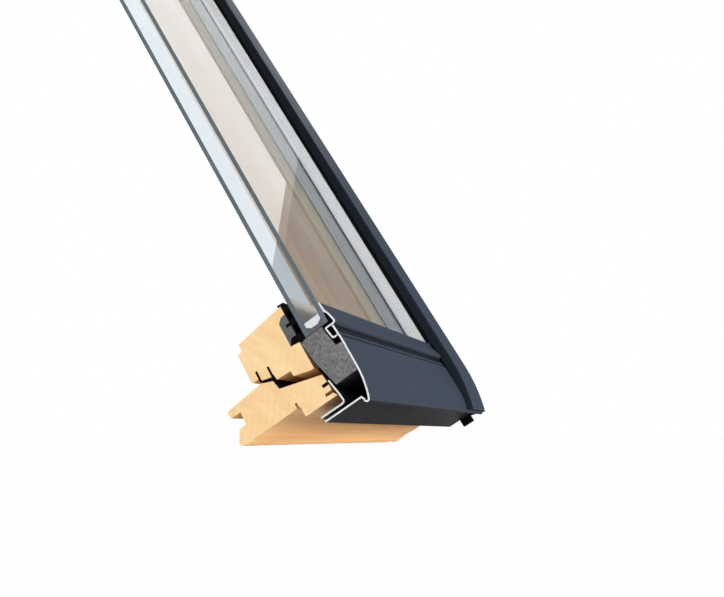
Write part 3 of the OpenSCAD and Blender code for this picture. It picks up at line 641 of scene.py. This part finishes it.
finishes = {
    "pineRail": pineFinish("pineRail", along=0, pith=(0.0, 0.16, -0.30), streaks=0.6),
    # the stiles carry a painted highlight beside the glass
    "pineStile": pineFinish(
        "pineStile", along=1, pith=(-0.10, 0.0, -0.16), streaks=1.3, fineness=0.45, paintedHighlightBand=True
    ),
    "slatePaint": paintFinish("slatePaint"),
    # side cover: painted shade on its inner slope, the faces that look along -X
    "slateSide": paintFinish("slateSide", shaded=(Vector((-1, 0, 0)), 0.3)),
    # front plate: painted shade on the faces that look down the slope and on the inside of the fold
    "slateFront": paintFinish("slateFront", shaded=(-upSlope, 0.75), inside=(upSlope, 0.03)),
    "outerGlass": glassFinish("outerGlass", glazing["outerTint"], glazing["outerIndex"]),
    "innerGlass": glassFinish("innerGlass", glazing["innerTint"], glazing["innerIndex"]),
    "glassEdge": mottledFinish(
        "glassEdge", glazing["edge"], glazing["edgeLight"], roughness=0.3, scale=80.0, gloss=0.2
    ),
    "whiteSpacer": spacerFinish(),
    "greySealant": mottledFinish(
        "greySealant", (0.080, 0.095, 0.104, 1), (0.104, 0.118, 0.128, 1), roughness=0.6, scale=500.0, gloss=0.2
    ),
    "butyl": mottledFinish(
        "butyl", (0.022, 0.030, 0.034, 1), (0.030, 0.040, 0.045, 1), roughness=0.6, scale=500.0, gloss=0.1
    ),
    "greyFoam": foamFinish(),
    "carrierGrey": mottledFinish(
        "carrierGrey", (0.07, 0.073, 0.078, 1), (0.13, 0.134, 0.14, 1), roughness=0.7, scale=700.0, gloss=0.2
    ),
    # cream-grey, for the band of painted shade on the inner pane beside the spacer
    "edgeFilm": mottledFinish(
        "edgeFilm", (0.20, 0.195, 0.17, 1), (0.24, 0.235, 0.205, 1), roughness=0.6, scale=700.0, gloss=0.2
    ),
    "blackRubber": mottledFinish(
        "blackRubber", (0.002, 0.002, 0.002, 1), (0.004, 0.004, 0.005, 1), roughness=0.6, scale=800.0, gloss=0.03
    ),
    "brushedSteel": mottledFinish(
        "brushedSteel", (0.52, 0.53, 0.55, 1), (0.62, 0.63, 0.65, 1), roughness=0.32, scale=1200.0, metallic=1.0
    ),
}

wears = {
    "pineRail": ["frame_bottom_rail", "frame_top_rail", "sash_bottom_rail", "sash_top_rail"],
    "pineStile": ["frame_right_stile", "sash_right_stile"],
    "slatePaint": ["frame_bottom_cover", "frame_side_cover", "frame_top_cover", "bead_bottom", "top_cover"],
    "slateSide": ["side_cover"],
    "slateFront": ["front_plate"],
    "outerGlass": ["outer_pane"],
    "innerGlass": ["inner_pane"],
    "whiteSpacer": ["spacer_bar"],
    "greySealant": ["edge_sealant"],
    "greyFoam": ["insulation_bottom", "insulation_side", "insulation_top"],
    "carrierGrey": ["gasket_carrier_bottom", "gasket_carrier_side", "gasket_carrier_top"],
    "blackRubber": [
        "cover_clip_bottom",
        "cover_clip_side",
        "corner_plug",
        "top_gap_seal",
        "glazing_gasket_bottom",
        "glazing_gasket_side",
        "glazing_gasket_top",
        "sash_seal_bottom",
        "sash_seal_side",
        "sash_seal_top",
        "bead_gasket_bottom",
        "front_plate_end_cap",
        "side_cover_gasket",
        "top_cover_gasket",
    ],
    "brushedSteel": ["hinge_frame_leaf", "hinge_pin", "hinge_frame_screws", "hinge_sash_leaf", "hinge_sash_screws"],
}


def dress(finish, names):
    for name in names:
        data = nodes[name].data
        data.materials.clear()
        data.materials.append(finishes[finish])


for finish, names in wears.items():
    dress(finish, names)
for name in ("outer_pane", "inner_pane"):  # light goes through the panes
    nodes[name].visible_shadow = False
    nodes[name].visible_diffuse = False
print("finishes on", sum(len(names) for names in wears.values()), "nodes")


# Pieces that the solids don't have


def addPiece(name, mesh, body):
    piece = bpy.data.objects.new(name, mesh)
    scene.collection.objects.link(piece)
    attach(piece, body)


# the sawn edges of the panes, a skin of ground glass on the sawn face
paneEdge = {"proud": 0.00012, "thick": 0.0004}


def sawnPaneEdge(name):
    onCut = [v.co.copy() for v in nodes[name].data.vertices if abs(v.co.x - cutX) < onPlane]
    ups = [p.dot(upSlope) for p in onCut]
    outs = [p.dot(acrossSlope) for p in onCut]
    skin = bmesh.new()
    bmesh.ops.create_cube(skin, size=1.0)
    for v in skin.verts:
        up = max(ups) if v.co.y > 0 else min(ups)
        out = max(outs) if v.co.z > 0 else min(outs)
        flat = upSlope * up + acrossSlope * out
        v.co = Vector((cutX - paneEdge["proud"] + (v.co.x + 0.5) * paneEdge["thick"], flat.y, flat.z))
    mesh = bpy.data.meshes.new(name + "_sawn_edge")
    skin.to_mesh(mesh)
    skin.free()
    mesh.materials.append(finishes["glassEdge"])
    addPiece(name + "_sawn_edge", mesh, "sash")


for name in ("outer_pane", "inner_pane"):
    sawnPaneEdge(name)
print("pane edges ground")


# on the inner pane beside the spacer: a thin opaque cream-grey band of painted shade, and a dark line of butyl at
# the side
edgeFilm = {
    "thick": 0.00008,
    "inset": 0.0006,  # from the sawn face
    "clear": 0.0001,  # from the spacer
    "butyl": 0.008,  # width of the line
    "cuts": 3,
}


def cavityFace(outwards):  # the largest plane of the spacer that looks into the cavity
    areas = {}
    mesh = nodes["spacer_bar"].data
    for face in mesh.polygons:
        if face.normal.dot(outwards) > sameWay:
            level = round(face.center.dot(outwards), 4)
            areas.setdefault(level, []).append(face)
    level = max(areas, key=lambda k: sum(f.area for f in areas[k]))
    corners = [mesh.vertices[i].co for f in areas[level] for i in f.vertices]
    return [slopeTurn.transposed() @ c for c in corners]


def filmBand(name, band, finish):
    film = bmesh.new()
    bmesh.ops.create_cube(film, size=1.0)
    bmesh.ops.subdivide_edges(film, edges=film.edges[:], cuts=edgeFilm["cuts"], use_grid_fill=True)
    for vert in film.verts:
        vert.co = slopeTurn @ Vector([lo + (hi - lo) * (c + 0.5) for c, (lo, hi) in zip(vert.co, band)])
    mesh = bpy.data.meshes.new(name)
    film.to_mesh(mesh)
    film.free()
    mesh.materials.append(finishes[finish])
    addPiece(name, mesh, "sash")
    print(name, [tuple(round(n * 1000, 1) for n in b) for b in band])


def addEdgeFilm(v):
    pane = flatBox("inner_pane")
    gasketTop = flatBox("glazing_gasket_bottom")[1][1]
    low = max(c[1] for c in cavityFace(upSlope)) + v["clear"]
    high = min(c[1] for c in cavityFace(-upSlope)) - v["clear"]
    side = min(c[0] for c in cavityFace(Vector((-1, 0, 0)))) - v["clear"]
    face = (pane[2][1], pane[2][1] + v["thick"])
    # the band of painted shade beside the spacer
    filmBand("inner_pane_edge_film", ((cutX + v["inset"], side), (low, gasketTop), face), "edgeFilm")
    butyl = ((side - v["butyl"], side), (gasketTop + v["clear"], high), face)
    filmBand("inner_pane_butyl_line", butyl, "butyl")


addEdgeFilm(edgeFilm)


# Repeats, laid by Geometry Nodes and baked to plain meshes


def newNodes(name, inputs):
    tree = bpy.data.node_groups.new(name, "GeometryNodeTree")
    tree.interface.new_socket("Geometry", in_out="INPUT", socket_type="NodeSocketGeometry")
    ids = {}
    for label, kind in inputs:
        ids[label] = tree.interface.new_socket(label, in_out="INPUT", socket_type="NodeSocket" + kind).identifier
    tree.interface.new_socket("Geometry", in_out="OUTPUT", socket_type="NodeSocketGeometry")
    return tree, tree.nodes.new("NodeGroupInput"), tree.nodes.new("NodeGroupOutput"), ids


def endNodes(tree, instances, out, finish):
    real = tree.nodes.new("GeometryNodeRealizeInstances")
    dressed = tree.nodes.new("GeometryNodeSetMaterial")
    dressed.inputs["Material"].default_value = finish
    tree.links.new(instances, real.inputs["Geometry"])
    tree.links.new(real.outputs["Geometry"], dressed.inputs["Geometry"])
    tree.links.new(dressed.outputs["Geometry"], out.inputs["Geometry"])


def bakeNodes(mesh, tree, ids, values):
    carrier = bpy.data.objects.new(mesh.name + "_carrier", mesh)
    scene.collection.objects.link(carrier)
    mod = carrier.modifiers.new(tree.name, "NODES")
    mod.node_group = tree
    for label, value in values.items():
        mod[ids[label]] = value
    evaluated = carrier.evaluated_get(bpy.context.evaluated_depsgraph_get())
    baked = bpy.data.meshes.new_from_object(evaluated)
    carrier.modifiers.remove(mod)
    bpy.data.objects.remove(carrier)
    return baked


beads = {
    "from": ["insulation_bottom", "insulation_top"],
    "size": 0.0030,  # bead diameter
    "gap": 0.0024,  # least distance between centres
    "flat": 0.10,  # a sawn bead stands out this share of its size
    "vary": (0.6, 1.1),
    "density": 250000.0,  # points per square metre, before the gap thins them
    "roundness": 2,  # subdivisions of a bead
    "inset": 0.55,  # of the sawn face's edge, in bead sizes
    "rim": 0.2,  # faces below this share of the largest are the inset's rim
    "seed": 7,
}


def beadNodes():
    inputs = [("Size", "Float"), ("Gap", "Float"), ("Flat", "Float"), ("Seed", "Int")]
    tree, given, out, ids = newNodes("foamBeads", inputs)
    scatter = tree.nodes.new("GeometryNodeDistributePointsOnFaces")
    scatter.distribute_method = "POISSON"
    scatter.inputs["Density Max"].default_value = beads["density"]
    ball = tree.nodes.new("GeometryNodeMeshIcoSphere")
    ball.inputs["Subdivisions"].default_value = beads["roundness"]
    half = tree.nodes.new("ShaderNodeMath")
    half.operation = "MULTIPLY"
    half.inputs[1].default_value = 0.5
    vary = tree.nodes.new("FunctionNodeRandomValue")
    vary.inputs[2].default_value, vary.inputs[3].default_value = beads["vary"]
    shape = tree.nodes.new("ShaderNodeCombineXYZ")
    shape.inputs["X"].default_value = 1.0
    shape.inputs["Y"].default_value = 1.0
    scaled = tree.nodes.new("ShaderNodeVectorMath")
    scaled.operation = "MULTIPLY"
    place = tree.nodes.new("GeometryNodeInstanceOnPoints")
    link = tree.links.new
    link(given.outputs["Geometry"], scatter.inputs["Mesh"])
    link(given.outputs["Gap"], scatter.inputs["Distance Min"])
    link(given.outputs["Seed"], scatter.inputs["Seed"])
    link(given.outputs["Seed"], vary.inputs["Seed"])
    link(given.outputs["Size"], half.inputs[0])
    link(half.outputs[0], ball.inputs["Radius"])
    link(given.outputs["Flat"], shape.inputs["Z"])
    link(shape.outputs[0], scaled.inputs[0])
    link(vary.outputs[1], scaled.inputs[1])
    link(scatter.outputs["Points"], place.inputs["Points"])
    link(scatter.outputs["Rotation"], place.inputs["Rotation"])
    link(ball.outputs["Mesh"], place.inputs["Instance"])
    link(scaled.outputs[0], place.inputs["Scale"])
    endNodes(tree, place.outputs["Instances"], out, finishes["greyFoam"])
    return tree, ids


def sawnFaces(names):  # the sawn faces of some nodes, drawn in a little from their edges
    bm = bmesh.new()
    for name in names:
        bm.from_mesh(nodes[name].data)
    bmesh.ops.remove_doubles(bm, verts=bm.verts, dist=1e-6)
    away = [f for f in bm.faces if any(abs(v.co.x - cutX) > onPlane for v in f.verts)]
    bmesh.ops.delete(bm, geom=away, context="FACES")
    bmesh.ops.dissolve_faces(bm, faces=bm.faces[:])
    bmesh.ops.inset_region(bm, faces=bm.faces[:], thickness=beads["size"] * beads["inset"], use_boundary=True)
    inner = max((f.calc_area() for f in bm.faces), default=0)
    rim = [f for f in bm.faces if f.calc_area() < inner * beads["rim"]]
    bmesh.ops.delete(bm, geom=rim, context="FACES")
    mesh = bpy.data.meshes.new("sawn_foam")
    bm.to_mesh(mesh)
    bm.free()
    return mesh


def addBeads(v):
    tree, ids = beadNodes()
    values = {"Size": v["size"], "Gap": v["gap"], "Flat": v["flat"], "Seed": v["seed"]}
    mesh = bakeNodes(sawnFaces(v["from"]), tree, ids, values)
    addPiece("foam_beads", mesh, "sash")
    print("foam beads", len(mesh.polygons), "faces")


perforations = {
    "pitch": 0.005,
    "hole": 0.0008,  # diameter
    "sides": 8,
    "rows": (-0.0018, 0.0018),  # off the middle of the spacer
    "proud": 0.00003,
}


def holeNodes():
    inputs = [("Pitch", "Float"), ("Hole", "Float"), ("Turn", "Vector")]
    tree, given, out, ids = newNodes("spacerHoles", inputs)
    path = tree.nodes.new("GeometryNodeMeshToCurve")
    steps = tree.nodes.new("GeometryNodeResampleCurve")
    steps.mode = "LENGTH"
    disc = tree.nodes.new("GeometryNodeMeshCircle")
    disc.fill_type = "NGON"
    disc.inputs["Vertices"].default_value = perforations["sides"]
    half = tree.nodes.new("ShaderNodeMath")
    half.operation = "MULTIPLY"
    half.inputs[1].default_value = 0.5
    place = tree.nodes.new("GeometryNodeInstanceOnPoints")
    link = tree.links.new
    link(given.outputs["Geometry"], path.inputs["Mesh"])
    link(path.outputs["Curve"], steps.inputs["Curve"])
    link(given.outputs["Pitch"], steps.inputs["Length"])
    link(given.outputs["Hole"], half.inputs[0])
    link(half.outputs[0], disc.inputs["Radius"])
    link(steps.outputs["Curve"], place.inputs["Points"])
    link(disc.outputs["Mesh"], place.inputs["Instance"])
    link(given.outputs["Turn"], place.inputs["Rotation"])
    endNodes(tree, place.outputs["Instances"], out, finishes["blackRubber"])
    return tree, ids


def addPerforations(v):
    tree, ids = holeNodes()
    joined = bmesh.new()
    for axis, sign in ((0, -1), (1, 1), (1, -1)):  # right leg, bottom leg, top leg
        flat = Vector([sign if i == axis else 0 for i in range(3)])
        outwards = slopeTurn @ flat
        corners = cavityFace(outwards)
        along = 1 - axis
        start = min(c[along] for c in corners) + v["pitch"]
        stop = max(c[along] for c in corners) - v["pitch"]
        middle = (min(c[2] for c in corners) + max(c[2] for c in corners)) / 2
        rows = bmesh.new()
        for shift, row in enumerate(v["rows"]):
            ends = []
            for end in (start + shift * v["pitch"] / 2, stop):
                spot = corners[0].copy()
                spot[along] = end
                spot[2] = middle + row
                ends.append(rows.verts.new(slopeTurn @ spot + outwards * v["proud"]))
            rows.edges.new(ends)
        mesh = bpy.data.meshes.new("spacer_rows")
        rows.to_mesh(mesh)
        rows.free()
        turn = Vector((0, 0, 1)).rotation_difference(outwards).to_euler()
        values = {"Pitch": v["pitch"], "Hole": v["hole"], "Turn": tuple(turn)}
        joined.from_mesh(bakeNodes(mesh, tree, ids, values))
    mesh = bpy.data.meshes.new("spacer_perforations")
    joined.to_mesh(mesh)
    joined.free()
    mesh.materials.append(finishes["blackRubber"])
    addPiece("spacer_perforations", mesh, "sash")
    print("spacer perforations", len(mesh.polygons))


addBeads(beads)
addPerforations(perforations)
